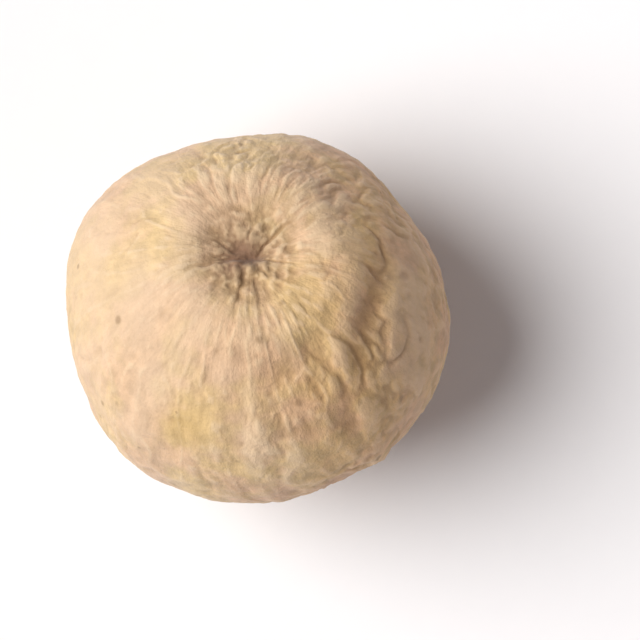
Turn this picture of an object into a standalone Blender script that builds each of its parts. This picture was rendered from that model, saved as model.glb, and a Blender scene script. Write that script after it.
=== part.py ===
"""A white peppercorn: the dried seed of the pepper fruit, resting on a small flat spot.

The seed is one solid. Its surface is a slightly flattened ball, pressed a little flat by its neighbours,
with a sunken stalk scar inside a raised collar, a low ledge beside the collar, low ribs that run from the
collar to a short blunt beak, and shallow wrinkles. Metres, +Z up. The scar faces up, tilted towards +Y.
"""

import math
import random

import bmesh
import bpy
import numpy as np
from mathutils import Matrix, Vector, noise

# Overall size: metres, and shares of the radius
RADIUS = 0.0023
BROAD_SHARE = 0.985
POLAR_SHARE = 0.945
FLAT_SPOT_DROP = 0.0001

# Directions of the scar and of the beak, in degrees
SCAR_HEADING = 98.7
SCAR_TILT = 21.8
BEAK_HEADING = -58.0
BEAK_ELEVATION = -50.0

# Flats pressed by neighbours: heading and elevation in degrees, distance as a share of the radius
FLATS = ((40.0, 5.0, 0.985), (100.0, 0.0, 1.025), (300.0, -5.0, 1.015))
FLAT_SHARPNESS = 16.0

# Low shoulders: heading and elevation in degrees, height in metres; width of all in radians
SHOULDERS = ((149.0, 5.0, 0.00018), (226.0, 0.0, 0.00008))
SHOULDER_WIDTH = 0.45

# Stalk scar: depths in metres, angles from its middle in radians
DISH_DEPTH = 0.00016
DISH_EDGE = 0.3
DISH_SLOPE = 0.065
PIT_DEPTH = 0.00017
PIT_WIDTH = 0.125
PIT_LOBES = 3
PIT_LOBE_SHARE = 0.3
PIT_LOBE_HEADING = 30.0
LUMP_HEIGHT = 0.00013
LUMP_WIDTH = 0.055
LUMP_OFFSET = 0.075

# Raised collar and the moat outside it, both strongest on one side
COLLAR_HEIGHT = 0.00007
COLLAR_ANGLE = 0.49
COLLAR_WIDTH = 0.12
MOAT_DEPTH = 0.00003
MOAT_ANGLE = 0.76
MOAT_WIDTH = 0.12
COLLAR_STRONG_HEADING = 20.0
COLLAR_LEAST_SHARE = 0.35

# Ledge beside the collar and the hollow beyond it: heights in metres, the rest as shares of the radius
LEDGE_HEADING = -14.0
LEDGE_HEIGHT = 0.00006
LEDGE_CREST = 0.45
LEDGE_WIDTH = 0.095
LEDGE_HOLLOW_DEPTH = 0.00004
LEDGE_HOLLOW = 0.59
LEDGE_HOLLOW_WIDTH = 0.075
LEDGE_MIDDLE = 0.22
LEDGE_HALF_LENGTH = 0.48
LEDGE_LOW_END = 0.3
LEDGE_LOW_FADE = 0.15
LEDGE_WAVER = 0.04
LEDGE_WAVER_FREQUENCY = 3.2
LEDGE_WAVER_SHIFT = 21.0

# Ribs, in patches: heights in metres, widths and wander in radians of longitude, fades in radians
RIB_COUNT = 24
RIB_FIRST_HEADING = -91.0
RIB_HEIGHT = 0.00004
RIB_LEAST_STRENGTH = 0.35
RIB_WIDTH = 0.08
RIB_JITTER = 0.14
RIB_WANDER = 0.1
RIB_START = 0.56
RIB_END_FROM_BEAK = 0.36
RIB_FADE = 0.12
RIB_STRONG_HEADING = -58.0
RIB_LEAST_SHARE = 0.3
RIB_SEED = 76
RIB_PATCH_FREQUENCY = 2.7
RIB_PATCH_SHIFT = 29.6
RIB_PATCH_MEAN = 0.65
RIB_PATCH_RANGE = (0.15, 1.1)

# Shallow folds on one side, and slow swells everywhere: heights in metres, waves in a radius
FOLD_HEIGHT = 0.000028
FOLD_FREQUENCY = 4.2
FOLD_START = 0.67
FOLD_FADE = 0.15
FOLD_STRONG_HEADING = -15.0
FOLD_LEAST_SHARE = 0.2
SWELL_HEIGHT = 0.00004
SWELL_FREQUENCY = 1.4

# Beak at the far end: heights in metres, widths in radians
BEAK_HEIGHT = 0.00011
BEAK_WIDTH = 0.115
BEAK_TAPER = 0.00006
BEAK_TAPER_WIDTH = 0.4

# Mesh: squares along each edge of the starting cube, and how far rows gather towards the two ends
SQUARES = 30
GATHER = 0.36
TINY = 1e-9
CREASE_DEGREES = 40.0

# Material of the dried seed
BASE_COLOR = (0.62, 0.455, 0.272, 1.0)
ROUGHNESS = 0.82


def unit(heading, elevation):
    """Unit vector at a heading from +X and an elevation above the horizon, both in degrees."""
    level = math.cos(math.radians(elevation))
    x = level * math.cos(math.radians(heading))
    y = level * math.sin(math.radians(heading))
    return np.array((x, y, math.sin(math.radians(elevation))))


def scar_frame():
    """Rotation that tips +Z over to the middle of the scar and leaves headings as they are."""
    turn = Matrix.Rotation(math.radians(SCAR_HEADING), 3, "Z")
    tip = Matrix.Rotation(math.radians(SCAR_TILT), 3, "Y")
    return np.array(turn @ tip @ turn.inverted())


def bump(distance, width):
    """Rounded bump: 1 at distance 0, falling to nothing over a few widths."""
    return np.exp(-((distance / width) ** 2))


def step(value, middle, slope):
    """Smooth step from 0 to 1 as value passes the middle."""
    return 0.5 + 0.5 * np.tanh((value - middle) / slope)


def around(angle):
    """Angle brought into -pi to pi."""
    return (angle + math.pi) % (2.0 * math.pi) - math.pi


def side(longitude, heading, least):
    """Weight that is 1 on the side of one heading and falls to the least on the opposite side."""
    facing = 0.5 + 0.5 * np.cos(longitude - math.radians(heading))
    return least + (1.0 - least) * facing


def angle_from(directions, towards):
    """Angle between unit directions and one unit vector."""
    return np.arccos(np.clip(directions @ towards, -1.0, 1.0))


def noise_at(points, frequency, shift=0.0):
    """Smooth noise, about -1 to 1, at each point; the shift makes two patterns differ."""
    return np.array([noise.noise(point) for point in (points * frequency + shift).tolist()])


def on_plane(local):
    """Stereographic position of unit vectors as complex numbers, with the scar at 0."""
    return (local[..., 0] + 1j * local[..., 1]) / (1.0 + local[..., 2] + TINY)


def meridians(directions):
    """Colatitude from the scar and longitude, along arcs that all run from the scar to the beak."""
    frame = scar_frame()
    far_end = on_plane(unit(BEAK_HEADING, BEAK_ELEVATION) @ frame)
    spot = on_plane(directions @ frame)
    bent = spot / (1.0 - spot / far_end)
    return 2.0 * np.arctan(np.abs(bent)), np.angle(bent)


def body(directions):
    """Distance from the middle to the smooth ball with its pressed flats and its shoulders."""
    shares = np.array((1.0, BROAD_SHARE, POLAR_SHARE))
    total = np.linalg.norm(directions @ scar_frame() / shares, axis=1) ** FLAT_SHARPNESS
    for heading, elevation, distance in FLATS:
        towards = np.maximum(directions @ unit(heading, elevation), 0.0)
        total += (towards / distance) ** FLAT_SHARPNESS
    reach = RADIUS * total ** (-1.0 / FLAT_SHARPNESS)
    for heading, elevation, height in SHOULDERS:
        reach += height * bump(angle_from(directions, unit(heading, elevation)), SHOULDER_WIDTH)
    return reach


def scar(colatitude, longitude):
    """Sunken dish with a lobed pit and a small lump, inside the raised collar and its moat."""
    dish = -DISH_DEPTH * (1.0 - step(colatitude, DISH_EDGE, DISH_SLOPE))
    lobes = np.cos(PIT_LOBES * (longitude - math.radians(PIT_LOBE_HEADING)))
    pit = -PIT_DEPTH * bump(colatitude, PIT_WIDTH * (1.0 + PIT_LOBE_SHARE * lobes))
    across = colatitude * np.cos(longitude)
    along = colatitude * np.sin(longitude) + LUMP_OFFSET
    lump = LUMP_HEIGHT * bump(np.hypot(across, along), LUMP_WIDTH)
    strength = side(longitude, COLLAR_STRONG_HEADING, COLLAR_LEAST_SHARE)
    collar = COLLAR_HEIGHT * strength * bump(colatitude - COLLAR_ANGLE, COLLAR_WIDTH)
    moat = -MOAT_DEPTH * strength**2 * bump(colatitude - MOAT_ANGLE, MOAT_WIDTH)
    return dish + pit + lump + collar + moat


def ledge(directions):
    """Low swelling along the shoulder beside the collar, which drops off to a hollow on its outer side."""
    outward = directions @ unit(LEDGE_HEADING, 0.0)
    outward += LEDGE_WAVER * noise_at(directions, LEDGE_WAVER_FREQUENCY, LEDGE_WAVER_SHIFT)
    crest = LEDGE_HEIGHT * bump(outward - LEDGE_CREST, LEDGE_WIDTH)
    hollow = LEDGE_HOLLOW_DEPTH * bump(outward - LEDGE_HOLLOW, LEDGE_HOLLOW_WIDTH)
    along = directions @ unit(LEDGE_HEADING + 90.0, 0.0)
    window = bump(along - LEDGE_MIDDLE, LEDGE_HALF_LENGTH)
    return (crest - hollow) * window * step(directions[:, 2], LEDGE_LOW_END, LEDGE_LOW_FADE)


def ribs(directions, colatitude, longitude):
    """Rounded ridges along the meridians, in patches, each with its own strength, spacing and wander."""
    chooser = random.Random(RIB_SEED)
    height = np.zeros_like(colatitude)
    for index in range(RIB_COUNT):
        place = 2.0 * math.pi * (index + chooser.uniform(-RIB_JITTER, RIB_JITTER)) / RIB_COUNT
        strength = chooser.uniform(RIB_LEAST_STRENGTH, 1.0)
        wander = RIB_WANDER * np.sin(2.0 * colatitude + chooser.uniform(0.0, 2.0 * math.pi))
        across = around(longitude - math.radians(RIB_FIRST_HEADING) - place - wander)
        height += strength * bump(across, RIB_WIDTH)
    from_beak = angle_from(directions, unit(BEAK_HEADING, BEAK_ELEVATION))
    reach = step(colatitude, RIB_START, RIB_FADE) * step(from_beak, RIB_END_FROM_BEAK, RIB_FADE)
    patches = RIB_PATCH_MEAN + noise_at(directions, RIB_PATCH_FREQUENCY, RIB_PATCH_SHIFT)
    strength = side(longitude, RIB_STRONG_HEADING, RIB_LEAST_SHARE) ** 2 * np.clip(patches, *RIB_PATCH_RANGE)
    return RIB_HEIGHT * height * reach * strength


def wrinkles(directions, colatitude, longitude):
    """Shallow folds outside the collar and slow swells everywhere."""
    folds = 1.0 - 2.0 * np.abs(noise_at(directions, FOLD_FREQUENCY))
    folds *= step(colatitude, FOLD_START, FOLD_FADE)
    folds *= side(longitude, FOLD_STRONG_HEADING, FOLD_LEAST_SHARE)
    return FOLD_HEIGHT * folds + SWELL_HEIGHT * noise_at(directions, SWELL_FREQUENCY)


def beak(directions):
    """Short blunt point on a gentle taper."""
    apart = angle_from(directions, unit(BEAK_HEADING, BEAK_ELEVATION))
    return BEAK_HEIGHT * bump(apart, BEAK_WIDTH) + BEAK_TAPER * bump(apart, BEAK_TAPER_WIDTH)


def surface(directions):
    """Points of the seed's surface, seen from its middle along unit directions."""
    colatitude, longitude = meridians(directions)
    reach = body(directions) + scar(colatitude, longitude) + beak(directions)
    reach += ledge(directions) + ribs(directions, colatitude, longitude)
    reach += wrinkles(directions, colatitude, longitude)
    return directions * reach[:, None]


def ball_directions(cube):
    """Unit directions of a cube's points, evenly spread and gathered towards the scar and the far end."""
    spread = np.tan(cube * math.pi / 4.0)
    ball = spread / np.linalg.norm(spread, axis=1)[:, None]
    polar = np.arccos(np.clip(ball[:, 2], -1.0, 1.0))
    gathered = polar - 0.5 * GATHER * np.sin(2.0 * polar)
    widen = np.sin(gathered) / np.maximum(np.hypot(ball[:, 0], ball[:, 1]), TINY)
    local = np.column_stack((ball[:, 0] * widen, ball[:, 1] * widen, np.cos(gathered)))
    return local @ scar_frame().T


def cut_flat_spot(shape):
    """Cuts the underside level, closes the cut and puts the middle of the box's underside at the origin."""
    lowest = min(vertex.co.z for vertex in shape.verts)
    level = Vector((0.0, 0.0, lowest + FLAT_SPOT_DROP))
    everything = shape.verts[:] + shape.edges[:] + shape.faces[:]
    up = Vector((0.0, 0.0, 1.0))
    bmesh.ops.bisect_plane(shape, geom=everything, plane_co=level, plane_no=up, clear_inner=True, dist=TINY)
    rim = [edge for edge in shape.edges if edge.is_boundary]
    bmesh.ops.contextual_create(shape, geom=rim)
    points = np.array([vertex.co for vertex in shape.verts])
    middle = 0.5 * (points.min(axis=0) + points.max(axis=0))
    bmesh.ops.translate(shape, verts=shape.verts[:], vec=(-middle[0], -middle[1], -level.z))


def seed_material():
    """Matt cream material of the dried seed."""
    material = bpy.data.materials.new("seed")
    material.use_nodes = True
    shader = material.node_tree.nodes["Principled BSDF"]
    shader.inputs["Base Color"].default_value = BASE_COLOR
    shader.inputs["Roughness"].default_value = ROUGHNESS
    shader.inputs["Metallic"].default_value = 0.0
    material.diffuse_color = BASE_COLOR
    return material


def make_peppercorn():
    """The whole seed as one closed mesh object."""
    shape = bmesh.new()
    bmesh.ops.create_cube(shape, size=2.0)
    bmesh.ops.subdivide_edges(shape, edges=shape.edges[:], cuts=SQUARES - 1, use_grid_fill=True)
    cube = np.array([vertex.co for vertex in shape.verts])
    for vertex, point in zip(shape.verts, surface(ball_directions(cube))):
        vertex.co = point
    cut_flat_spot(shape)
    bmesh.ops.triangulate(shape, faces=shape.faces[:])
    bmesh.ops.recalc_face_normals(shape, faces=shape.faces[:])
    mesh = bpy.data.meshes.new("peppercorn")
    shape.to_mesh(mesh)
    shape.free()
    mesh.shade_smooth()
    mesh.set_sharp_from_angle(angle=math.radians(CREASE_DEGREES))
    mesh.materials.append(seed_material())
    seed = bpy.data.objects.new("peppercorn", mesh)
    bpy.context.scene.collection.objects.link(seed)


for leftover in list(bpy.data.objects):
    bpy.data.objects.remove(leftover)
make_peppercorn()
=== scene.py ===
"""A white peppercorn: its fine seed skin and finish on a plain pale floor, seen from straight above.

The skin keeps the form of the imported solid: a pressed ball, the stalk scar in its raised collar, a ledge,
ribs, folds and a beak. It adds veins, creases, pebbling, pores, grains and the cracked floor of the scar.
Lengths are in metres, headings, tilts and elevations in degrees, and other angles in radians.
"""

import logging
import math
import random
from dataclasses import dataclass
from enum import Enum
from typing import Protocol

import bmesh
import bpy
import numpy as np
from mathutils import Matrix, Vector, noise


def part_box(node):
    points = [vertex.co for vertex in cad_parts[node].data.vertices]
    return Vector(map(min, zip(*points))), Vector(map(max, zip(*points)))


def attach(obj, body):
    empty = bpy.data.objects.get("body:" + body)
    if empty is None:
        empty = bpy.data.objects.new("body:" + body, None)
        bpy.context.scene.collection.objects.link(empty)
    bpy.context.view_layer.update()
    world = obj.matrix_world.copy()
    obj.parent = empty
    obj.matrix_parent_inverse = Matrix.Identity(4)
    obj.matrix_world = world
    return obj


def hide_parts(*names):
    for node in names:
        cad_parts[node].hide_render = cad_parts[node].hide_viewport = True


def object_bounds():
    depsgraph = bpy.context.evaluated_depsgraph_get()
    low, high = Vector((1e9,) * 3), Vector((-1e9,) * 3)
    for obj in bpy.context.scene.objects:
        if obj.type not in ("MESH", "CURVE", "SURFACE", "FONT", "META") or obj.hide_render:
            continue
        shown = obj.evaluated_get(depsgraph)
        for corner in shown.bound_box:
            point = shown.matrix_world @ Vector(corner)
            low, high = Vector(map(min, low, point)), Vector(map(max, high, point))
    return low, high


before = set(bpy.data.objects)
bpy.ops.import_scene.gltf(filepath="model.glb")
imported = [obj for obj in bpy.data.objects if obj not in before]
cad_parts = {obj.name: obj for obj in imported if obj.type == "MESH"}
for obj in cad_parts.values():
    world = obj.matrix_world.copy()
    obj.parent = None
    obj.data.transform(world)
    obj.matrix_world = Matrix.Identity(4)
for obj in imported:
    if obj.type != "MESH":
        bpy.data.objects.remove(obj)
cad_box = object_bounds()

TINY = 1e-9
VECTOR_SHIFTS = (0.0, 31.7, 67.3)
ROUGH_FALL = 1.0
ROUGH_STEP = 2.0
ROUGH_OCTAVES = 3
NODES_IN_A_ROW = 8
NODE_SPACE = (220.0, 320.0)
MIX_SHARE, MIX_UNDER, MIX_OVER, MIX_RESULT = 0, 6, 7, 2

Array = np.ndarray
Pair = tuple[float, float]
Colour = tuple[float, float, float]
Socket = bpy.types.NodeSocket

log = logging.getLogger("peppercorn")


class SkinLayer(Enum):
    """Names of the values that the skin mesh carries at each point for its finish."""

    ALONG = "along"
    FOLD = "fold"
    # Hollows and the patches of painted shade and light.
    FURROW_AND_PATCH_SHADE = "furrow"
    SCAR = "scar"
    PIT = "pit"
    STAIN = "stain"
    # Painted shade on the side away from the key light.
    SHADE_SIDE_BROWN = "shade_side_brown"
    # Dust and painted highlight on the lit side and the right-hand limb.
    DUST_AND_HIGHLIGHT = "dust_and_highlight"


class ColourMix(Enum):
    """Ways of laying one colour over another."""

    COVER = "MIX"
    MULTIPLY = "MULTIPLY"


def unit(heading: float, elevation: float) -> Array:
    """Gives the unit vector at a heading and an elevation.

    Args:
        heading: Degrees from +X, anticlockwise from above.
        elevation: Degrees above the horizon.

    Returns:
        The unit vector.
    """
    level = math.cos(math.radians(elevation))
    x = level * math.cos(math.radians(heading))
    y = level * math.sin(math.radians(heading))
    return np.array((x, y, math.sin(math.radians(elevation))))


def bump(distance: Array, width: Array | float) -> Array:
    """Gives 1 at distance 0, about a third at the width, and nothing a few widths away."""
    return np.exp(-((distance / width) ** 2))


def step(value: Array, middle: Array | float, slope: float) -> Array:
    """Gives 0 well under the middle and 1 well over it, with a smooth slope between."""
    return 0.5 + 0.5 * np.tanh((value - middle) / slope)


def around(angle: Array) -> Array:
    """Brings angles into -pi to pi."""
    return (angle + math.pi) % (2.0 * math.pi) - math.pi


def angle_from(directions: Array, towards: Array) -> Array:
    """Gives the angle between unit directions and one unit vector."""
    return np.arccos(np.clip(directions @ towards, -1.0, 1.0))


def noise_at(points: Array, frequency: float, shift: float) -> Array:
    """Gives smooth noise, about -1 to 1, at each point; the shift makes two patterns differ."""
    return np.array([noise.noise(point) for point in (points * frequency + shift).tolist()])


def rough_noise_at(points: Array, shift: float) -> Array:
    """Gives noise of several octaves at each point; the shift makes two patterns differ."""
    shifted = (points + shift).tolist()
    return np.array([noise.fractal(point, ROUGH_FALL, ROUGH_STEP, ROUGH_OCTAVES) for point in shifted])


@dataclass(frozen=True)
class Waves:
    """Smooth noise of one scale and strength, with a shift that sets it apart from other noise."""

    frequency: float
    shift: float = 0.0
    strength: float = 1.0

    def at(self, points: Array, further: float = 0.0) -> Array:
        """Gives one value for each point, on both sides of 0; a further shift gives other waves."""
        return self.strength * noise_at(points, self.frequency, self.shift + further)

    def vectors_at(self, points: Array, further: float) -> Array:
        """Gives a smooth field of vectors, for bending other patterns.

        Args:
            points: Points, one in a row.
            further: A further shift.

        Returns:
            One vector for each point.
        """
        shift = self.shift + further
        columns = [noise_at(points, self.frequency, shift + apart) for apart in VECTOR_SHIFTS]
        return self.strength * np.column_stack(columns)


@dataclass(frozen=True)
class Patches:
    """Strength that changes over the seed between a least and a most, so that a pattern comes and goes."""

    mean: float
    waves: Waves
    least: float
    most: float

    def share(self, directions: Array, further: float = 0.0) -> Array:
        """Gives the strength in each direction; a further shift gives other patches."""
        return np.clip(self.mean + self.waves.at(directions, further), self.least, self.most)


@dataclass(frozen=True)
class Places:
    """Where each point of the skin lies: its direction, and its place between the scar and the beak."""

    directions: Array
    colatitude: Array
    longitude: Array
    from_beak: Array

    def only(self, chosen: Array) -> "Places":
        """Gives the places that a mask picks out."""
        spot = (self.directions[chosen], self.colatitude[chosen], self.longitude[chosen])
        return Places(*spot, self.from_beak[chosen])

    def flat(self) -> tuple[Array, Array]:
        """Lays the seed out flat round the scar and gives how far across and along each place is."""
        across = self.colatitude * np.cos(self.longitude)
        return across, self.colatitude * np.sin(self.longitude)

    def streaks(self, turns: float, pace: float) -> Array:
        """Gives coordinates in which noise runs in streaks from the scar to the beak.

        Args:
            turns: Radius of the circle that the longitude runs round.
            pace: Steps along the seed for each radian from the scar.

        Returns:
            Points, one in a row.
        """
        x = turns * np.cos(self.longitude)
        y = turns * np.sin(self.longitude)
        return np.column_stack((x, y, pace * self.colatitude))


@dataclass(frozen=True)
class Side:
    """Strength that is 1 on the side of the seed that faces a heading and falls to the least opposite."""

    heading: float
    least: float

    def share(self, places: Places) -> Array:
        """Gives the strength at each place."""
        facing = 0.5 + 0.5 * np.cos(places.longitude - math.radians(self.heading))
        return self.least + (1.0 - self.least) * facing


class Relief(Protocol):
    """Anything that raises or sinks the skin."""

    def relief(self, places: Places) -> Array:
        """Gives one height for each place, negative where the skin is sunk."""


@dataclass(frozen=True)
class SeedAxis:
    """Directions of the stalk scar and of the beak, in degrees."""

    scar_heading: float = 98.7
    scar_tilt: float = 21.8
    beak_heading: float = -58.0
    beak_elevation: float = -50.0

    def frame(self) -> Array:
        """Tips +Z over to the middle of the scar and leaves headings as they are.

        Returns:
            The rotation matrix.
        """
        turn = Matrix.Rotation(math.radians(self.scar_heading), 3, "Z")
        tip = Matrix.Rotation(math.radians(self.scar_tilt), 3, "Y")
        return np.array(turn @ tip @ turn.inverted())

    def beak(self) -> Array:
        """Gives the unit vector towards the beak."""
        return unit(self.beak_heading, self.beak_elevation)

    def on_plane(self, directions: Array) -> Array:
        """Gives the stereographic positions of directions as complex numbers, with the scar at 0."""
        local = directions @ self.frame()
        return (local[..., 0] + 1j * local[..., 1]) / (1.0 + local[..., 2] + TINY)

    def places(self, directions: Array) -> Places:
        """Finds where directions lie along arcs that all run from the scar to the beak.

        Args:
            directions: Unit directions, one in a row.

        Returns:
            Their places on the seed.
        """
        spot = self.on_plane(directions)
        bent = spot / (1.0 - spot / self.on_plane(self.beak()))
        from_beak = angle_from(directions, self.beak())
        return Places(directions, 2.0 * np.arctan(np.abs(bent)), np.angle(bent), from_beak)


@dataclass(frozen=True)
class SeedBody:
    """Smooth ball with flats (heading, elevation, distance) and shoulders (heading, elevation, height)."""

    radius: float = 0.0023
    broad_share: float = 0.985
    polar_share: float = 0.945
    flats: tuple[tuple[float, float, float], ...] = (
        (40.0, 5.0, 0.985),
        (100.0, 0.0, 1.025),
        (300.0, -5.0, 1.015),
    )
    sharpness: float = 16.0
    shoulders: tuple[tuple[float, float, float], ...] = (
        (149.0, 5.0, 0.00018),
        (226.0, 0.0, 0.00008),
    )
    shoulder_width: float = 0.45
    swell: Waves = Waves(1.4, 0.0, 0.00004)

    def reach(self, places: Places, axis: SeedAxis) -> Array:
        """Gives the distance from the middle to the body's surface.

        Args:
            places: Places on the seed.
            axis: The seed's axis.

        Returns:
            One distance for each place.
        """
        shares = np.array((1.0, self.broad_share, self.polar_share))
        total = np.linalg.norm(places.directions @ axis.frame() / shares, axis=1) ** self.sharpness
        for heading, elevation, distance in self.flats:
            towards = np.maximum(places.directions @ unit(heading, elevation), 0.0)
            total += (towards / distance) ** self.sharpness
        reach = self.radius * total ** (-1.0 / self.sharpness)
        for heading, elevation, height in self.shoulders:
            apart = angle_from(places.directions, unit(heading, elevation))
            reach += height * bump(apart, self.shoulder_width)
        return reach + self.swell.at(places.directions)


@dataclass(frozen=True)
class Cracks:
    """Thin wandering cracks that run out from the pit over the dish's floor."""

    count: int = 13
    depth: float = 0.000034
    width: float = 0.011
    wander: float = 0.022
    bends: float = 13.0
    bend_starts: Pair = (0.0, 50.0)
    starts: Pair = (0.05, 0.11)
    ends: Pair = (0.17, 0.36)
    depth_shares: Pair = (0.35, 1.0)
    width_shares: Pair = (0.6, 1.2)
    start_fade: float = 0.02
    end_fade: float = 0.03

    def relief(self, places: Places, chooser: random.Random) -> Array:
        """Gives the cracks' depth, as a negative height.

        Args:
            places: Places on the seed.
            chooser: Picks each crack's turn, reach, depth, width and bends.

        Returns:
            One height for each place.
        """
        away = places.colatitude
        height = np.zeros_like(away)
        for _ in range(self.count):
            turn = around(places.longitude - chooser.uniform(-math.pi, math.pi))
            start = chooser.uniform(*self.starts)
            end = chooser.uniform(*self.ends)
            deep = self.depth * chooser.uniform(*self.depth_shares)
            wide = self.width * chooser.uniform(*self.width_shares)
            bends = away * self.bends + chooser.uniform(*self.bend_starts)
            wander = self.wander * noise_at(bends[:, None] * (1.0, 0.0, 0.0), 1.0, 0.0)
            window = step(away, start, self.start_fade) * (1.0 - step(away, end, self.end_fade))
            line = bump(away * np.sin(turn) + wander, wide)
            height -= deep * line * window * (np.cos(turn) > 0.0)
        return height


@dataclass(frozen=True)
class Crumbs:
    """Low crumbs round the pit, most of them on the side away from the light."""

    count: int = 70
    height: float = 0.000033
    turn: float = -0.1
    turn_spread: float = 1.7
    distances: Pair = (0.08, 0.3)
    sizes: Pair = (0.009, 0.028)
    height_shares: Pair = (0.5, 1.0)
    stretches: Pair = (0.6, 1.6)

    def relief(self, places: Places, chooser: random.Random) -> Array:
        """Gives the crumbs' height.

        Args:
            places: Places on the seed.
            chooser: Picks each crumb's place, size, height and stretch.

        Returns:
            One height for each place.
        """
        across, along = places.flat()
        height = np.zeros_like(across)
        for _ in range(self.count):
            turn = chooser.gauss(self.turn, self.turn_spread)
            away = chooser.uniform(*self.distances)
            size = chooser.uniform(*self.sizes)
            tall = self.height * chooser.uniform(*self.height_shares) * size / self.sizes[1]
            x = across - away * math.cos(turn)
            y = along - away * math.sin(turn)
            height += tall * bump(np.hypot(x, y * chooser.uniform(*self.stretches)), size)
        return height


@dataclass(frozen=True)
class StalkScar:
    """The sunken dish with its lobed pit, lump and broken floor, inside the raised collar and its moat."""

    dish_depth: float = 0.00016
    dish_edge: float = 0.3
    dish_slope: float = 0.065
    dish_turns: float = 2.2
    dish_rag: Waves = Waves(1.0, 7.3, 0.1)
    pit_depth: float = 0.00017
    pit_width: float = 0.125
    pit_lobes: int = 3
    pit_lobe_share: float = 0.3
    pit_lobe_heading: float = 30.0
    lump_height: float = 0.00013
    lump_width: float = 0.055
    lump_offset: float = 0.075
    collar_height: float = 0.00007
    collar_angle: float = 0.49
    collar_width: float = 0.12
    collar_streaks: Pair = (3.1, 2.0)
    collar_rag: Waves = Waves(1.0, 2.9, 0.5)
    moat_depth: float = 0.00003
    moat_angle: float = 0.76
    moat_width: float = 0.12
    strong: Side = Side(20.0, 0.35)
    # Sets the scar's brown and dark pit towards the dish's shaded wall: painted shade.
    scar_shade_offset: float = 0.045
    core_depth: float = 0.000025
    core_width: float = 0.055
    rough_height: float = 0.000026
    rough: Waves = Waves(17.0, 3.7)
    fine_rough: Waves = Waves(39.1, 6.1, 0.5)
    cracks: Cracks = Cracks()
    crumbs: Crumbs = Crumbs()
    seed: int = 5

    def edge(self, places: Places) -> Array:
        """Gives the dish's uneven edge, as an angle from the scar's middle."""
        return self.dish_edge * (1.0 + self.dish_rag.at(places.streaks(self.dish_turns, 0.0)))

    def dish(self, places: Places) -> Array:
        """Gives 1 on the dish's floor and 0 outside it."""
        return 1.0 - step(places.colatitude, self.edge(places), self.dish_slope)

    def pit(self, places: Places) -> Array:
        """Gives 1 in the middle of the pit and 0 outside it."""
        lobes = np.cos(self.pit_lobes * (places.longitude - math.radians(self.pit_lobe_heading)))
        return bump(places.colatitude, self.pit_width * (1.0 + self.pit_lobe_share * lobes))

    def around_scar_shade(self, places: Places) -> Array:
        """Gives the distance from the middle of the scar's brown floor, which lies beside the pit towards
        the dish's shaded wall, so its dark is partly painted shade.
        """
        across, along = places.flat()
        return np.hypot(across + self.scar_shade_offset, along)

    def lump(self, places: Places) -> Array:
        """Gives 1 on the small lump at the pit's lower side."""
        across, along = places.flat()
        return bump(np.hypot(across, along + self.lump_offset), self.lump_width)

    def collar(self, places: Places) -> Array:
        """Gives the height of the collar and its moat.

        Args:
            places: Places on the seed.

        Returns:
            One height for each place.
        """
        strength = self.strong.share(places)
        ragged = 1.0 + self.collar_rag.at(places.streaks(*self.collar_streaks))
        ring = bump(places.colatitude - self.collar_angle, self.collar_width)
        moat = bump(places.colatitude - self.moat_angle, self.moat_width)
        return self.collar_height * strength * ring * ragged - self.moat_depth * strength**2 * moat

    def broken_floor(self, places: Places) -> Array:
        """Gives the height of the cracks, crumbs, core and rough ground on the dish's floor.

        Args:
            places: Places on the seed.

        Returns:
            One height for each place.
        """
        chooser = random.Random(self.seed)
        inside = places.colatitude < self.collar_angle
        near = places.only(inside)
        rough = self.rough.at(near.directions) + self.fine_rough.at(near.directions)
        core = self.core_depth * bump(near.colatitude, self.core_width)
        broken = self.cracks.relief(near, chooser) + self.crumbs.relief(near, chooser)
        height = np.zeros_like(places.colatitude)
        height[inside] = broken + (self.rough_height * rough - core) * self.dish(near)
        return height

    def relief(self, places: Places) -> Array:
        """Gives the height of the whole scar over the body.

        Args:
            places: Places on the seed.

        Returns:
            One height for each place.
        """
        sunk = -self.dish_depth * self.dish(places) - self.pit_depth * self.pit(places)
        raised = self.lump_height * self.lump(places) + self.collar(places)
        return sunk + raised + self.broken_floor(places)


@dataclass(frozen=True)
class Beak:
    """Short blunt point on a gentle taper at the far end."""

    height: float = 0.00011
    width: float = 0.115
    taper: float = 0.00006
    taper_width: float = 0.4

    def relief(self, places: Places) -> Array:
        """Gives the beak's height over the body."""
        point = self.height * bump(places.from_beak, self.width)
        return point + self.taper * bump(places.from_beak, self.taper_width)


@dataclass(frozen=True)
class Ribs:
    """Rounded ridges along the arcs to the beak, each with its own strength, spacing and slight wander."""

    count: int = 24
    first_heading: float = -91.0
    height: float = 0.00004
    least_strength: float = 0.35
    width: float = 0.08
    jitter: float = 0.14
    wander: float = 0.1
    wander_pace: float = 2.0
    patches: Patches = Patches(0.65, Waves(2.7, 29.6), 0.15, 1.1)
    start: float = 0.56
    end_from_beak: float = 0.36
    fade: float = 0.12
    strong: Side = Side(-58.0, 0.3)
    seed: int = 76

    def relief(self, places: Places) -> Array:
        """Gives the ribs' height over the body.

        Args:
            places: Places on the seed.

        Returns:
            One height for each place.
        """
        chooser = random.Random(self.seed)
        height = np.zeros_like(places.colatitude)
        for index in range(self.count):
            place = 2.0 * math.pi * (index + chooser.uniform(-self.jitter, self.jitter)) / self.count
            strength = chooser.uniform(self.least_strength, 1.0)
            phase = chooser.uniform(0.0, 2.0 * math.pi)
            wander = self.wander * np.sin(self.wander_pace * places.colatitude + phase)
            across = around(places.longitude - math.radians(self.first_heading) - place - wander)
            height += strength * bump(across, self.width)
        inner = step(places.colatitude, self.start, self.fade)
        outer = step(places.from_beak, self.end_from_beak, self.fade)
        strength = self.strong.share(places) ** 2
        return self.height * height * inner * outer * strength * self.patches.share(places.directions)


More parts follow.
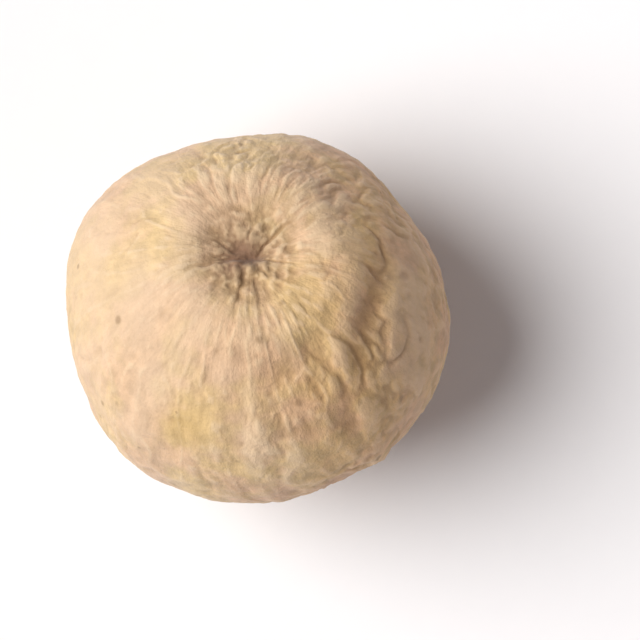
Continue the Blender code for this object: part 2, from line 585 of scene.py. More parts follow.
@dataclass(frozen=True)
class Folds:
    """Shallow folds outside the moat, strongest on one side."""

    height: float = 0.000028
    waves: Waves = Waves(4.2)
    start: float = 0.67
    fade: float = 0.15
    strong: Side = Side(-15.0, 0.2)

    def relief(self, places: Places) -> Array:
        """Gives the folds' height over the body.

        Args:
            places: Places on the seed.

        Returns:
            One height for each place.
        """
        folds = 1.0 - 2.0 * np.abs(self.waves.at(places.directions))
        folds *= step(places.colatitude, self.start, self.fade)
        return self.height * folds * self.strong.share(places)


@dataclass(frozen=True)
class Ledge:
    """Low swelling along the shoulder beside the collar, which drops off to a hollow on its outer side."""

    heading: float = -14.0
    height: float = 0.00006
    crest: float = 0.45
    width: float = 0.095
    hollow_depth: float = 0.00004
    hollow: float = 0.59
    hollow_width: float = 0.075
    middle: float = 0.22
    half_length: float = 0.48
    low_end: float = 0.3
    low_fade: float = 0.15
    waver: Waves = Waves(3.2, 21.0, 0.04)

    def relief(self, places: Places) -> Array:
        """Gives the height of the ledge and the hollow beyond it.

        Args:
            places: Places on the seed.

        Returns:
            One height for each place.
        """
        outward = places.directions @ unit(self.heading, 0.0) + self.waver.at(places.directions)
        crest = self.height * bump(outward - self.crest, self.width)
        hollow = self.hollow_depth * bump(outward - self.hollow, self.hollow_width)
        along = places.directions @ unit(self.heading + 90.0, 0.0)
        window = bump(along - self.middle, self.half_length)
        return (crest - hollow) * window * step(places.directions[:, 2], self.low_end, self.low_fade)


@dataclass(frozen=True)
class Veins:
    """Thin raised lines that branch and join on their way from the scar to the beak."""

    height: float = 0.000013
    turns: float = 4.4
    pace: float = 1.5
    width: float = 0.1
    waves: Waves = Waves(1.0, 4.1)
    bend: Waves = Waves(5.0, 1.7, 0.25)
    patches: Patches = Patches(0.65, Waves(2.3, 9.1, 0.7), 0.15, 1.2)
    bare_scar: float = 0.4
    bare_beak: float = 0.16
    fade: float = 0.08

    def relief(self, places: Places) -> Array:
        """Gives the veins' height over the body.

        Args:
            places: Places on the seed.

        Returns:
            One height for each place.
        """
        bent = places.streaks(self.turns, self.pace) + self.bend.at(places.directions)[:, None]
        clear = step(places.colatitude, self.bare_scar, self.fade)
        clear_beak = step(places.from_beak, self.bare_beak, self.fade)
        lines = bump(self.waves.at(bent), self.width) * clear * clear_beak
        return self.height * lines * self.patches.share(places.directions)


@dataclass(frozen=True)
class Creases:
    """Soft sunken creases of the dried skin, which mostly run from the scar to the beak and come and go."""

    depth: float
    turns: float
    pace: float
    width: float
    strong: Side
    shift: float
    bend: Waves = Waves(4.0, 5.0, 0.5)
    patches: Patches = Patches(0.6, Waves(2.6, 2.0, 1.3), 0.0, 1.3)

    def relief(self, places: Places) -> Array:
        """Gives the creases' depth below the body, as a negative height.

        Args:
            places: Places on the seed.

        Returns:
            One height for each place.
        """
        spread = places.streaks(self.turns, self.pace)
        spread += self.bend.vectors_at(places.directions, self.shift)
        lines = bump(rough_noise_at(spread, self.shift), self.width)
        patches = self.patches.share(places.directions, self.shift)
        return -self.depth * lines * patches * self.strong.share(places)


@dataclass(frozen=True)
class Pebbles:
    """Low rounded pebbles of dried skin, parted by shallow joints."""

    depth: float = 0.000011
    turns: float = 7.5
    pace: float = 6.0
    joint: float = 0.3
    strong: Side = Side(-15.0, 0.55)
    shift: float = 31.0
    bend: Waves = Waves(0.9, 3.0, 0.38)
    patches: Patches = Patches(0.55, Waves(2.1, 8.0, 1.2), 0.05, 1.3)

    def relief(self, places: Places) -> Array:
        """Gives the depth of the joints below the body, as a negative height.

        Args:
            places: Places on the seed.

        Returns:
            One height for each place.
        """
        spread = places.streaks(self.turns, self.pace) + self.shift
        spread += self.bend.vectors_at(spread, self.shift)
        distances = np.array([noise.voronoi(point)[0][:2] for point in spread.tolist()])
        joints = bump(distances[:, 1] - distances[:, 0], self.joint)
        patches = self.patches.share(places.directions, self.shift)
        return -self.depth * joints * patches * self.strong.share(places)


@dataclass(frozen=True)
class Pores:
    """Scattered round pores, each of its own size, or grains where the height is positive."""

    count: int
    height: float
    sizes: Pair
    seed: int
    height_shares: Pair = (0.4, 1.0)
    reach: float = 3.0

    def relief(self, places: Places) -> Array:
        """Gives the pores' or grains' height over the body.

        Args:
            places: Places on the seed.

        Returns:
            One height for each place.
        """
        chooser = random.Random(self.seed)
        height = np.zeros_like(places.colatitude)
        for _ in range(self.count):
            spot = np.array([chooser.gauss(0.0, 1.0) for _ in range(3)])
            size = chooser.uniform(*self.sizes)
            tall = self.height * chooser.uniform(*self.height_shares)
            apart = angle_from(places.directions, spot / np.linalg.norm(spot))
            near = apart < self.reach * size
            height[near] += tall * bump(apart[near], size)
        return height


@dataclass(frozen=True)
class Tinge:
    """A tinge over the side of the seed towards a heading and an elevation, with a soft ragged edge."""

    towards: Pair
    edge: float
    fade: float
    rag: Waves
    strength: float = 1.0

    def share(self, places: Places) -> Array:
        """Gives how strongly the tinge shows at each place."""
        facing = places.directions @ unit(*self.towards) + self.rag.at(places.directions)
        return self.strength * step(facing, self.edge, self.fade)


@dataclass(frozen=True)
class Patch:
    """One soft ragged patch on the upper side; a negative strength turns its effect round."""

    across: float
    along: float
    half_across: float
    half_along: float
    strength: float
    rag: Waves = Waves(6.0, 27.0, 0.6)

    def share(self, places: Places) -> Array:
        """Gives how strongly the patch shows at each place.

        Args:
            places: Places on the seed.

        Returns:
            One share for each place.
        """
        x, y, z = places.directions.T
        spot = bump(x - self.across, self.half_across) * bump(y - self.along, self.half_along)
        return self.strength * spot * (1.0 + self.rag.at(places.directions)) * (z > 0.0)


@dataclass(frozen=True)
class ToneAndPaintedShade:
    """Where the skin is browner, paler, stained or dusty, and where shade and light are painted on: darker
    in hollows, paler on crests and on the lit side, browner on the side away from the key light, and
    patches of painted shade and light.
    """

    fold_passes: int = 14
    fold_depth: float = 0.000006
    furrow_passes: int = 160
    furrow_depth: float = 0.000022
    most_hollow: float = 1.5
    streaks: Pair = (3.4, 1.3)
    # The scar's brown floor and dark pit, set towards the dish's shaded wall: partly their own colour,
    # partly painted shade.
    scar_edge: float = 0.7
    scar_rag: Waves = Waves(9.0, 8.2, 0.3)
    scar_fade: float = 0.09
    scar_strength: float = 0.9
    pit_width: float = 0.12
    pit_strength: float = 1.4
    pit_lump_share: float = 0.6
    pit_start: float = 0.2
    most_pit: float = 0.85
    stain_spot: Pair = (235.5, 46.0)
    stain_width: float = 0.15
    stain_strength: float = 0.5
    # Browner on the side away from the key light: painted shade.
    shade_side_brown: Tinge = Tinge((-12.0, 10.0), 0.3, 0.3, Waves(2.2, 12.0, 0.5))
    # Paler on the side facing the key light: partly dust, partly painted highlight.
    dust_and_highlight: Tinge = Tinge((180.0, 20.0), 0.75, 0.25, Waves(3.4, 17.0, 0.8), 0.5)
    most_dust_and_highlight: float = 0.7
    # Darker (positive) and paler (negative) patches where the form is shaded or lit, with a pale band at
    # the right-hand limb: painted shade and painted light.
    painted_shade_and_light_patches: tuple[Patch, ...] = (
        Patch(-0.06, -0.5, 0.06, 0.3, -0.9),
        Patch(0.06, -0.8, 0.14, 0.14, -0.7),
        Patch(0.3, -0.38, 0.13, 0.2, 0.75),
        Patch(0.42, 0.46, 0.13, 0.2, -1.2),
        Patch(0.56, -0.2, 0.08, 0.16, 0.7),
        Patch(0.83, 0.0, 0.06, 0.5, -0.9),
    )
    # Pale patches on the lit side and at the right-hand limb: partly dust, partly painted highlight.
    dust_and_highlight_patches: tuple[Patch, ...] = (
        Patch(-0.4, -0.18, 0.2, 0.16, 0.35),
        Patch(-0.7, 0.3, 0.16, 0.2, 0.4),
        Patch(0.8, -0.05, 0.13, 0.5, 0.5),
    )

    def hollows(self, relief: Array, edges: Array, passes: int, depth: float) -> Array:
        """Measures how far each point lies under the blurred surface round it.

        Args:
            relief: Height of each point.
            edges: Pairs of joined points.
            passes: How often the surface is blurred.
            depth: Depth that counts as 1.

        Returns:
            Positive in hollows and negative on crests, clipped to the most.
        """
        ends = np.concatenate((edges[:, 0], edges[:, 1]))
        others = np.concatenate((edges[:, 1], edges[:, 0]))
        joined = np.bincount(ends, minlength=len(relief))
        blurred = relief.copy()
        for _ in range(passes):
            neighbours = np.bincount(ends, blurred[others], len(relief)) / joined
            blurred = 0.5 * (blurred + neighbours)
        return np.clip((blurred - relief) / depth, -self.most_hollow, self.most_hollow)

    def scar_shares(self, places: Places, scar: StalkScar) -> tuple[Array, Array]:
        """Gives where the scar's brown floor and its dark pit show, set towards the dish's shaded wall:
        partly their own colour, partly painted shade.

        Args:
            places: Places on the seed.
            scar: The stalk scar.

        Returns:
            One share for each place, for the floor and for the pit.
        """
        from_scar_shade = scar.around_scar_shade(places)
        edge = scar.edge(places) * (self.scar_edge + self.scar_rag.at(places.directions))
        floor = 1.0 - step(from_scar_shade, edge, self.scar_fade)
        pit = self.pit_strength * bump(from_scar_shade, self.pit_width)
        pit = pit - self.pit_lump_share * scar.lump(places) - self.pit_start
        return self.scar_strength * floor, np.clip(pit, 0.0, self.most_pit)

    def layers(self, places: Places, scar: StalkScar, relief: Array,
               edges: Array) -> dict[SkinLayer, Array]:
        """Works out the values that the finish reads at each point.

        Args:
            places: Places on the seed.
            scar: The stalk scar.
            relief: Height of each point.
            edges: Pairs of joined points.

        Returns:
            One array for each layer.
        """
        floor, pit = self.scar_shares(places, scar)
        fold = self.hollows(relief, edges, self.fold_passes, self.fold_depth)
        furrow = self.hollows(relief, edges, self.furrow_passes, self.furrow_depth)
        stain = bump(angle_from(places.directions, unit(*self.stain_spot)), self.stain_width)
        # Darker in hollows and in the shade patches, paler on crests and in the light patches: painted
        # shade and painted light.
        brown = sum((patch.share(places) for patch in self.painted_shade_and_light_patches), furrow)
        # Dust with painted highlight on the lit side and at the right-hand limb.
        dusty = sum((patch.share(places) for patch in self.dust_and_highlight_patches), self.dust_and_highlight.share(places))
        return {
            SkinLayer.ALONG: places.streaks(*self.streaks),
            SkinLayer.FOLD: fold,
            SkinLayer.FURROW_AND_PATCH_SHADE: brown,
            SkinLayer.SCAR: floor,
            SkinLayer.PIT: pit,
            SkinLayer.STAIN: self.stain_strength * stain,
            SkinLayer.SHADE_SIDE_BROWN: self.shade_side_brown.share(places),
            SkinLayer.DUST_AND_HIGHLIGHT: np.clip(dusty, 0.0, self.most_dust_and_highlight),
        }


@dataclass(frozen=True)
class Ramp:
    """A range of values and what its two ends become, with a smooth start and end."""

    low: float
    high: float
    first: float = 0.0
    last: float = 1.0


@dataclass(frozen=True)
class Wiring:
    """Adds nodes to one node tree, in rows, and links them."""

    tree: bpy.types.NodeTree

    def add(self, kind: str, inputs: dict | None = None, **settings: object) -> bpy.types.Node:
        """Adds one node.

        Args:
            kind: The node's type.
            inputs: Socket name or number to the value or socket that it takes.
            **settings: The node's own properties.

        Returns:
            The node.
        """
        row, column = divmod(len(self.tree.nodes), NODES_IN_A_ROW)
        made = self.tree.nodes.new(kind)
        made.location = (column * NODE_SPACE[0], -row * NODE_SPACE[1])
        for name, value in settings.items():
            setattr(made, name, value)
        self.fill(made, inputs or {})
        return made

    def fill(self, node: bpy.types.Node, inputs: dict) -> None:
        """Links a node's sockets to others or sets their values.

        Args:
            node: The node.
            inputs: Socket name or number to the value or socket that it takes.
        """
        for name, value in inputs.items():
            if isinstance(value, Socket):
                self.tree.links.new(value, node.inputs[name])
            else:
                node.inputs[name].default_value = value

    def place(self) -> Socket:
        """Gives the object's own coordinates."""
        return self.add("ShaderNodeTexCoord").outputs["Object"]

    def layer(self, name: SkinLayer, output: str = "Fac") -> Socket:
        """Gives one of the skin's layers."""
        return self.add("ShaderNodeAttribute", attribute_name=name.value).outputs[output]

    def group(self, tree: bpy.types.ShaderNodeTree, inputs: dict) -> Socket:
        """Places a node group and gives its output."""
        return self.add("ShaderNodeGroup", inputs, node_tree=tree).outputs[0]

    def noise(self, place: Socket, scale: float, detail: float) -> Socket:
        """Gives noise of one scale, with more octaves for more detail."""
        inputs = {"Vector": place, "Scale": scale, "Detail": detail}
        return self.add("ShaderNodeTexNoise", inputs).outputs["Fac"]

    def mix(self, share: Socket | float, under: Socket | Colour, over: Socket | Colour,
            way: ColourMix = ColourMix.COVER) -> Socket:
        """Lays one colour over another.

        Args:
            share: How much of the upper colour shows.
            under: The lower colour.
            over: The upper colour.
            way: How the upper colour is laid.

        Returns:
            The socket with the mixed colour.
        """
        under, over = (given if isinstance(given, Socket) else opaque(given) for given in (under, over))
        inputs = {MIX_SHARE: share, MIX_UNDER: under, MIX_OVER: over}
        made = self.add("ShaderNodeMix", data_type="RGBA", blend_type=way.value)
        self.fill(made, inputs)
        return made.outputs[MIX_RESULT]

    def ramp(self, value: Socket, ramp: Ramp) -> Socket:
        """Maps a value as a ramp says.

        Args:
            value: The value.
            ramp: The ramp.

        Returns:
            The socket with the mapped value.
        """
        inputs = {"Value": value, "From Min": ramp.low, "From Max": ramp.high}
        inputs |= {"To Min": ramp.first, "To Max": ramp.last}
        return self.add("ShaderNodeMapRange", inputs, interpolation_type="SMOOTHSTEP").outputs["Result"]

    def math(self, operation: str, first: Socket | float, second: Socket | float) -> Socket:
        """Joins two values by one operation."""
        return self.add("ShaderNodeMath", {0: first, 1: second}, operation=operation).outputs[0]

    def raised(self, height: Socket, distance: float, inputs: dict | None = None) -> Socket:
        """Gives the normal of a surface that is raised by a height over a distance, with further inputs."""
        inputs = {"Distance": distance, "Height": height, **(inputs or {})}
        return self.add("ShaderNodeBump", inputs).outputs["Normal"]


def opaque(colour: Colour) -> tuple[float, float, float, float]:
    """Gives a colour with full alpha."""
    return (*colour, 1.0)


@dataclass(frozen=True)
class Grain:
    """Fine uneven grain, which the skin and the floor both use, as a node group."""

    detail: float = 3.0
    roughness: float = 0.62
    sockets: tuple[tuple[str, str, str], ...] = (
        ("Vector", "INPUT", "NodeSocketVector"),
        ("Size", "INPUT", "NodeSocketFloat"),
        ("Height", "OUTPUT", "NodeSocketFloat"),
    )

    def group(self) -> bpy.types.ShaderNodeTree:
        """Builds the group.

        Returns:
            The group: a vector and a grain size in metres in, a height of about 0 to 1 out.
        """
        group = bpy.data.node_groups.new("fine_grain", "ShaderNodeTree")
        for name, way, kind in self.sockets:
            group.interface.new_socket(name, in_out=way, socket_type=kind)
        wiring = Wiring(group)
        given = wiring.add("NodeGroupInput").outputs
        scale = wiring.math("DIVIDE", 1.0, given["Size"])
        inputs = {"Vector": given["Vector"], "Scale": scale, "Detail": self.detail}
        inputs |= {"Roughness": self.roughness}
        height = wiring.add("ShaderNodeTexNoise", inputs).outputs["Fac"]
        wiring.add("NodeGroupOutput", {"Height": height})
        return group


@dataclass(frozen=True)
class SeedSkinFinish:
    """Dry matt cream skin of the seed with a brown scar and a dark pit, darker in its hollows and on the
    side away from the key light as painted shade, paler on crests and the lit side as painted highlight.
    """

    grain: bpy.types.ShaderNodeTree
    yellow_cream: Colour = (0.636, 0.458, 0.23)
    pink_cream: Colour = (0.622, 0.42, 0.262)
    cream_size: float = 0.0009
    cream_ramp: Ramp = Ramp(0.4, 0.6)
    mottle_size: float = 0.00022
    mottle_ramp: Ramp = Ramp(0.32, 0.68, 0.85, 1.09)
    streak_scale: float = 5.0
    streak_detail: float = 3.0
    streak_ramp: Ramp = Ramp(0.35, 0.65, 0.93, 1.06)
    # Browner, darker colour in deep hollows and shade patches: painted shade, partly the skin's browner
    # tone.
    furrow_shade_tan: Colour = (0.42, 0.265, 0.125)
    furrow_ramp: Ramp = Ramp(0.0, 1.4, 0.0, 0.6)
    # Paler colour on crests and in light patches: painted highlight, partly dust.
    crest_highlight_and_dust: Colour = (0.73, 0.56, 0.365)
    ridge_ramp: Ramp = Ramp(-0.1, -1.0, 0.0, 0.5)
    # Dark brown in small folds: painted shade, partly the skin's browner tone.
    fold_shade: Colour = (0.27, 0.162, 0.08)
    fold_ramp: Ramp = Ramp(0.2, 1.5, 0.0, 0.22)
    crest_ramp: Ramp = Ramp(-0.15, -0.9, 0.0, 0.35)
    stain: Colour = (0.5, 0.325, 0.11)
    # Multiplied over the side away from the key light: painted shade.
    shade_side_brown: Colour = (1.0, 0.91, 0.83)
    # Pale dusty colour on the lit side and the right-hand limb: partly dust, partly painted highlight.
    dust_and_highlight: Colour = (0.65, 0.478, 0.33)
    speck: Colour = (0.2, 0.115, 0.055)
    speck_spacing: float = 0.00024
    speck_share: float = 0.22
    speck_size: float = 0.34
    speck_rim: Ramp = Ramp(1.0, 0.4)
    speck_strength: float = 0.5
    # The scar's own brown; its darker colour in the scar's hollows is painted shade.
    scar_floor: Colour = (0.47, 0.325, 0.19)
    scar_hollow_shade: Colour = (0.26, 0.158, 0.085)
    scar_mottle_size: float = 0.00013
    scar_ramp: Ramp = Ramp(-0.2, 1.3)
    # The pit's dark brown: partly its own colour, partly painted shade in the recess.
    pit: Colour = (0.26, 0.145, 0.088)
    grain_size: float = 0.000045
    grain_height: float = 0.000012
    fibre_scale: float = 13.0
    fibre_detail: float = 2.0
    fibre_height: float = 0.000006
    roughness_ramp: Ramp = Ramp(0.3, 0.7, 0.68, 0.9)
    specular: float = 0.38
    sheen: float = 0.22
    sheen_roughness: float = 0.5
    sheen_tint: Colour = (1.0, 0.9, 0.86)

    def material(self) -> bpy.types.Material:
        """Builds the material.

        Returns:
            The material, ready to give to the skin.
        """
        made = bpy.data.materials.new("seed_skin")
        made.use_nodes = True
        wiring = Wiring(made.node_tree)
        place = wiring.place()
        colour = self.scarred(wiring, place, self.painted_shade_and_tone(wiring, place, self.cream(wiring, place)))
        grain = self.grained(wiring, place, self.grain_size)
        fibres = wiring.noise(wiring.layer(SkinLayer.ALONG, "Vector"), self.fibre_scale, self.fibre_detail)
        fibre_normal = wiring.raised(fibres, self.fibre_height)
        wiring.fill(made.node_tree.nodes["Principled BSDF"], {
            "Base Color": colour,
            "Roughness": wiring.ramp(grain, self.roughness_ramp),
            "Normal": wiring.raised(grain, self.grain_height, {"Normal": fibre_normal}),
            "Metallic": 0.0,
            "Specular IOR Level": self.specular,
            "Sheen Weight": self.sheen,
            "Sheen Roughness": self.sheen_roughness,
            "Sheen Tint": opaque(self.sheen_tint),
        })
        return made

    def grained(self, wiring: Wiring, place: Socket, size: float) -> Socket:
        """Gives the height of fine grain of one size."""
        return wiring.group(self.grain, {"Vector": place, "Size": size})

    def cream(self, wiring: Wiring, place: Socket) -> Socket:
        """Mixes the two creams in broad patches, with fine mottling and faint streaks.

        Args:
            wiring: The material's wiring.
            place: The object's coordinates.

        Returns:
            The socket with the colour.
        """
        patches = wiring.ramp(self.grained(wiring, place, self.cream_size), self.cream_ramp)
        colour = wiring.mix(patches, self.yellow_cream, self.pink_cream)
        mottle = wiring.ramp(self.grained(wiring, place, self.mottle_size), self.mottle_ramp)
        along = wiring.layer(SkinLayer.ALONG, "Vector")
        streaks = wiring.ramp(wiring.noise(along, self.streak_scale, self.streak_detail), self.streak_ramp)
        return wiring.mix(1.0, colour, wiring.math("MULTIPLY", mottle, streaks), ColourMix.MULTIPLY)

    def specks(self, wiring: Wiring, place: Socket) -> Socket:
        """Scatters round specks with soft rims, each of its own size.

        Args:
            wiring: The material's wiring.
            place: The object's coordinates.

        Returns:
            The socket with how strongly the specks show.
        """
        inputs = {"Vector": place, "Scale": 1.0 / self.speck_spacing}
        cells = wiring.add("ShaderNodeTexVoronoi", inputs).outputs
        chance = wiring.add("ShaderNodeSeparateColor", {"Color": cells["Color"]}).outputs
        chosen = wiring.math("LESS_THAN", chance[0], self.speck_share)
        size = wiring.math("MULTIPLY", self.speck_size, chance[1])
        disc = wiring.ramp(wiring.math("DIVIDE", cells["Distance"], size), self.speck_rim)
        return wiring.math("MULTIPLY", wiring.math("MULTIPLY", chosen, disc), self.speck_strength)

    def painted_shade_and_tone(self, wiring: Wiring, place: Socket, colour: Socket) -> Socket:
        """Darkens the hollows and pales the ridges as painted shade and painted highlight, and adds the
        stain, the painted shade and highlight tinges and the specks.

        Args:
            wiring: The material's wiring.
            place: The object's coordinates.
            colour: The colour so far.

        Returns:
            The socket with the colour.
        """
        furrow = wiring.layer(SkinLayer.FURROW_AND_PATCH_SHADE)
        fold = wiring.layer(SkinLayer.FOLD)
        # The hollow and crest coats, the side tinges and the patches paint shade and highlight; the stain
        # and the specks are the skin's own colour.
        coats = (
            (wiring.ramp(furrow, self.furrow_ramp), self.furrow_shade_tan, ColourMix.COVER),
            (wiring.ramp(furrow, self.ridge_ramp), self.crest_highlight_and_dust, ColourMix.COVER),
            (wiring.ramp(fold, self.fold_ramp), self.fold_shade, ColourMix.COVER),
            (wiring.ramp(fold, self.crest_ramp), self.crest_highlight_and_dust, ColourMix.COVER),
            (wiring.layer(SkinLayer.STAIN), self.stain, ColourMix.COVER),
            (wiring.layer(SkinLayer.SHADE_SIDE_BROWN), self.shade_side_brown, ColourMix.MULTIPLY),
            (wiring.layer(SkinLayer.DUST_AND_HIGHLIGHT), self.dust_and_highlight, ColourMix.COVER),
            (self.specks(wiring, place), self.speck, ColourMix.COVER),
        )
        for share, over, way in coats:
            colour = wiring.mix(share, colour, over, way)
        return colour

    def scarred(self, wiring: Wiring, place: Socket, colour: Socket) -> Socket:
        """Colours the floor of the scar and its pit, with painted shade in the scar's hollows and in the
        pit.

        Args:
            wiring: The material's wiring.
            place: The object's coordinates.
            colour: The colour so far.

        Returns:
            The socket with the colour.
        """
        mottle = self.grained(wiring, place, self.scar_mottle_size)
        # Darker scar brown in the scar's hollows: painted shade.
        lit = wiring.ramp(wiring.math("SUBTRACT", mottle, wiring.layer(SkinLayer.FOLD)), self.scar_ramp)
        floor = wiring.mix(lit, self.scar_hollow_shade, self.scar_floor)
        colour = wiring.mix(wiring.layer(SkinLayer.SCAR), colour, floor)
        return wiring.mix(wiring.layer(SkinLayer.PIT), colour, self.pit)


def put(name: str, data: bpy.types.ID) -> bpy.types.Object:
    """Puts an object with its data into the scene.

    Args:
        name: The object's name.
        data: Its mesh, light or camera.

    Returns:
        The object.
    """
    made = bpy.data.objects.new(name, data)
    bpy.context.scene.collection.objects.link(made)
    return made


def put_mesh(name: str, shape: bmesh.types.BMesh, material: bpy.types.Material) -> bpy.types.Object:
    """Turns a finished shape into an object of the scene.

    Args:
        name: The object's name.
        shape: The shape, which is freed.
        material: Its material.

    Returns:
        The object.
    """
    mesh = bpy.data.meshes.new(name)
    shape.to_mesh(mesh)
    shape.free()
    mesh.materials.append(material)
    return put(name, mesh)


@dataclass(frozen=True)
class Peppercorn:
    """The whole seed: its form, its fine relief and its skin mesh."""

    axis: SeedAxis = SeedAxis()
    body: SeedBody = SeedBody()
    scar: StalkScar = StalkScar()
    forms: tuple[Relief, ...] = (Beak(), Ribs(), Folds(), Ledge())
    fine_forms: tuple[Relief, ...] = (
        Veins(),
        Creases(depth=0.000026, turns=4.2, pace=2.4, width=0.2, strong=Side(-15.0, 0.45), shift=13.0),
        Creases(depth=0.000011, turns=9.0, pace=5.0, width=0.22, strong=Side(-15.0, 0.7), shift=23.0),
        Pebbles(),
        Pores(count=260, height=-0.000014, sizes=(0.012, 0.026), seed=3),
        Pores(count=320, height=0.000008, sizes=(0.012, 0.024), seed=4),
    )
    dimples: Waves = Waves(4.0, 6.6, 0.00001)
    dish_calm: float = 0.6
    tone_and_painted_shade: ToneAndPaintedShade = ToneAndPaintedShade()
    squares: int = 126
    gather: float = 0.36
    flat_spot_drop: float = 0.0001

    def ball_directions(self, cube: Array) -> Array:
        """Spreads a cube's points over the ball, gathered towards the scar and the far end.

        Args:
            cube: Points of the cube's surface, one in a row.

        Returns:
            Their unit directions.
        """
        spread = np.tan(cube * math.pi / 4.0)
        ball = spread / np.linalg.norm(spread, axis=1)[:, None]
        polar = np.arccos(np.clip(ball[:, 2], -1.0, 1.0))
        gathered = polar - 0.5 * self.gather * np.sin(2.0 * polar)
        widen = np.sin(gathered) / np.maximum(np.hypot(ball[:, 0], ball[:, 1]), TINY)
        local = np.column_stack((ball[:, 0] * widen, ball[:, 1] * widen, np.cos(gathered)))
        return local @ self.axis.frame().T

    def relief(self, places: Places) -> Array:
        """Gives the height of everything that stands over or under the smooth body.

        Args:
            places: Places on the seed.

        Returns:
            One height for each place.
        """
        height = self.scar.relief(places) + sum(form.relief(places) for form in self.forms)
        fine = self.dimples.at(places.directions) + sum(form.relief(places) for form in self.fine_forms)
        return height + fine * (1.0 - self.dish_calm * self.scar.dish(places))

    def raise_skin(self, shape: bmesh.types.BMesh) -> None:
        """Moves a cube's points to the seed's surface and writes the layers for the finish onto them.

        Args:
            shape: The cube, divided into small squares.
        """
        shape.verts.index_update()
        edges = np.array([[vertex.index for vertex in edge.verts] for edge in shape.edges])
        cube = np.array([vertex.co for vertex in shape.verts])
        places = self.axis.places(self.ball_directions(cube))
        relief = self.relief(places)
        points = places.directions * (self.body.reach(places, self.axis) + relief)[:, None]
        for name, values in self.tone_and_painted_shade.layers(places, self.scar, relief, edges).items():
            kinds = shape.verts.layers.float_vector if values.ndim == 2 else shape.verts.layers.float
            layer = kinds.new(name.value)
            for vertex, value in zip(shape.verts, values.tolist()):
                vertex[layer] = value
        for vertex, point in zip(shape.verts, points.tolist()):
            vertex.co = point

    def cut_flat_spot(self, shape: bmesh.types.BMesh) -> None:
        """Cuts the underside level and closes the cut.

        Args:
            shape: The raised skin.
        """
        lowest = min(vertex.co.z for vertex in shape.verts)
        level = Vector((0.0, 0.0, lowest + self.flat_spot_drop))
        plane = {"plane_co": level, "plane_no": Vector((0.0, 0.0, 1.0)), "dist": TINY}
        everything = shape.verts[:] + shape.edges[:] + shape.faces[:]
        bmesh.ops.bisect_plane(shape, geom=everything, clear_inner=True, **plane)
        rim = [edge for edge in shape.edges if edge.is_boundary]
        for face in bmesh.ops.contextual_create(shape, geom=rim)["faces"]:
            face.smooth = False

    def fit(self, shape: bmesh.types.BMesh, low: Vector, high: Vector) -> None:
        """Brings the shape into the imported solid's box, a hair inside each side.

        Args:
            shape: The finished shape.
            low: The box's lowest corner.
            high: The box's highest corner.
        """
        points = np.array([vertex.co for vertex in shape.verts])
        least, most = points.min(axis=0), points.max(axis=0)
        bmesh.ops.translate(shape, verts=shape.verts[:], vec=Vector(-0.5 * (least + most)))
        share = (np.array(high - low) - 2.0 * TINY) / (most - least)
        bmesh.ops.scale(shape, verts=shape.verts[:], vec=Vector(share))
        bmesh.ops.translate(shape, verts=shape.verts[:], vec=0.5 * (low + high))
        log.info("skin fitted to the solid's box by %s", [round(float(value), 4) for value in share])

    def build(self, finish: SeedSkinFinish) -> bpy.types.Object:
        """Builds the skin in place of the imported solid.

        Args:
            finish: The skin's finish.

        Returns:
            The skin's object.
        """
        shape = bmesh.new()
        bmesh.ops.create_cube(shape, size=2.0)
        bmesh.ops.subdivide_edges(shape, edges=shape.edges[:], cuts=self.squares - 1, use_grid_fill=True)
        self.raise_skin(shape)
        for face in shape.faces:
            face.smooth = True
        self.cut_flat_spot(shape)
        self.fit(shape, *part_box("peppercorn"))
        bmesh.ops.triangulate(shape, faces=shape.faces[:])
        bmesh.ops.recalc_face_normals(shape, faces=shape.faces[:])
        skin = put_mesh("seed_skin", shape, finish.material())
        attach(skin, "root")
        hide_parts("peppercorn")
        return skin


@dataclass(frozen=True)
class PaperFinish:
    """Matt near-white paper of the floor, with the faintest grain."""

    grain: bpy.types.ShaderNodeTree
    white: Colour = (0.905, 0.9, 0.922)
    shade: Colour = (0.885, 0.88, 0.905)
    grain_size: float = 0.0004
    roughness: float = 0.9
    specular: float = 0.2

    def material(self) -> bpy.types.Material:
        """Builds the material.

        Returns:
            The material, ready to give to the floor.
        """
        made = bpy.data.materials.new("pale_paper")
        made.use_nodes = True
        wiring = Wiring(made.node_tree)
        grain = wiring.group(self.grain, {"Vector": wiring.place(), "Size": self.grain_size})
        wiring.fill(made.node_tree.nodes["Principled BSDF"], {
            "Base Color": wiring.mix(grain, self.shade, self.white),
            "Roughness": self.roughness,
            "Specular IOR Level": self.specular,
        })
        return made


@dataclass(frozen=True)
class Lamp:
    """One broad sun, which lights the seed softly from one side."""

    name: str
    heading: float
    elevation: float
    strength: float
    spread: float
    colour: Colour

    def build(self) -> bpy.types.Object:
        """Hangs the lamp and turns it to the seed.

        Returns:
            The lamp's object.
        """
        light = bpy.data.lights.new(self.name, "SUN")
        light.energy = self.strength
        light.angle = self.spread
        light.color = self.colour
        lamp = put(self.name, light)
        towards = Vector(unit(self.heading, self.elevation))
        lamp.rotation_euler = towards.to_track_quat("Z", "Y").to_euler()
        return lamp


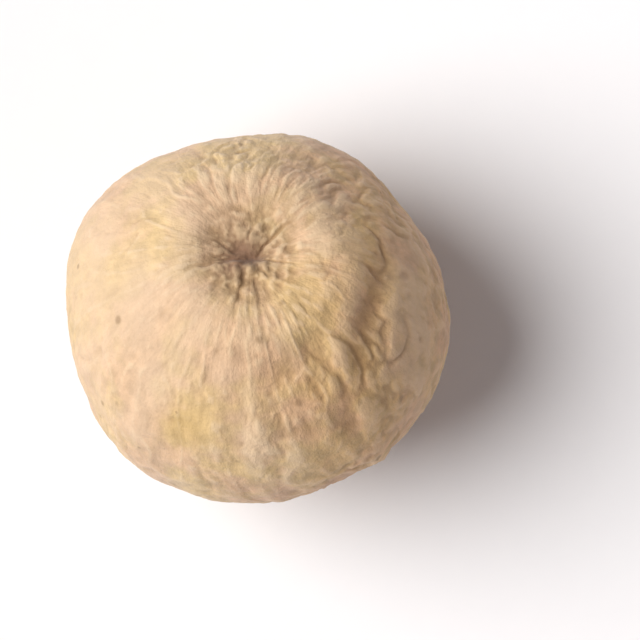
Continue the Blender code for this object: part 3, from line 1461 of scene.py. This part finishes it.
@dataclass(frozen=True)
class Studio:
    """Plain pale floor, soft key from the left, weak rim light, pale fill, and a camera straight above."""

    floor_half: float = 0.4
    floor_drop: float = 0.000001
    key: Lamp = Lamp("key", 173.7, 47.0, 4.0, 0.88, (1.0, 0.985, 0.96))
    rim: Lamp = Lamp("rim", -40.0, 14.0, 0.38, 1.3, (1.0, 0.94, 0.97))
    fill_colour: Colour = (1.0, 0.91, 0.91)
    fill_strength: float = 0.18
    backdrop_colour: Colour = (0.93, 0.92, 0.92)
    view_width: float = 0.0078
    view_shift: Pair = (0.00075, -0.00002)
    lens: float = 300.0
    sensor: float = 36.0
    clip: Pair = (0.001, 2.0)

    def lay_floor(self, paper: PaperFinish) -> bpy.types.Object:
        """Lays the plain floor just under the seed's flat spot.

        Args:
            paper: The floor's finish.

        Returns:
            The floor's object.
        """
        shape = bmesh.new()
        bmesh.ops.create_grid(shape, x_segments=1, y_segments=1, size=self.floor_half)
        bmesh.ops.translate(shape, verts=shape.verts[:], vec=(0.0, 0.0, -self.floor_drop))
        floor = put_mesh("floor", shape, paper.material())
        return floor

    def light_fill(self) -> bpy.types.World:
        """Fills from all round, and shows a pale backdrop where the camera looks past the floor.

        Returns:
            The world with the fill and the backdrop.
        """
        world = bpy.data.worlds.new("studio")
        bpy.context.scene.world = world
        world.use_nodes = True
        wiring = Wiring(world.node_tree)
        fill = world.node_tree.nodes["Background"]
        wiring.fill(fill, {"Color": opaque(self.fill_colour), "Strength": self.fill_strength})
        backdrop = wiring.add("ShaderNodeBackground", {"Color": opaque(self.backdrop_colour)})
        seen = wiring.add("ShaderNodeLightPath").outputs["Is Camera Ray"]
        inputs = {0: seen, 1: fill.outputs["Background"], 2: backdrop.outputs["Background"]}
        both = wiring.add("ShaderNodeMixShader", inputs)
        wiring.fill(world.node_tree.nodes["World Output"], {"Surface": both.outputs[0]})
        return world

    def place_camera(self) -> bpy.types.Object:
        """Puts the camera straight above, far enough away for its long lens to take in the view's width.

        Returns:
            The camera's object.
        """
        data = bpy.data.cameras.new("camera")
        data.lens = self.lens
        data.sensor_width = self.sensor
        data.clip_start, data.clip_end = self.clip
        low, high = cad_box
        camera = put("camera", data)
        away = self.view_width * self.lens / self.sensor
        camera.location = 0.5 * (low + high) + Vector((*self.view_shift, away))
        bpy.context.scene.camera = camera
        return camera

    def build(self, paper: PaperFinish) -> list[bpy.types.ID]:
        """Builds the floor, the lights and the camera.

        Args:
            paper: The floor's finish.

        Returns:
            What was built, in order.
        """
        settings = bpy.context.scene.view_settings
        settings.view_transform = "Standard"
        settings.look = "None"
        made = [self.lay_floor(paper), self.light_fill(), self.key.build(), self.rim.build()]
        return made + [self.place_camera()]


def write_sizes() -> None:
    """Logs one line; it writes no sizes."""
    log.info("sizes written")


def main() -> None:
    """Builds the stage and the seed in order and reports each piece."""
    logging.basicConfig(level=logging.INFO, format="%(message)s")
    log.info("frame loaded, nodes: %d", len(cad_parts))
    grain = Grain().group()
    for made in Studio().build(PaperFinish(grain)):
        log.info("%s ready", made.name)
    skin = Peppercorn().build(SeedSkinFinish(grain))
    log.info("%s ready: %d points, %d faces", skin.name, len(skin.data.vertices), len(skin.data.polygons))
    write_sizes()


if __name__ == "__main__":
    main()
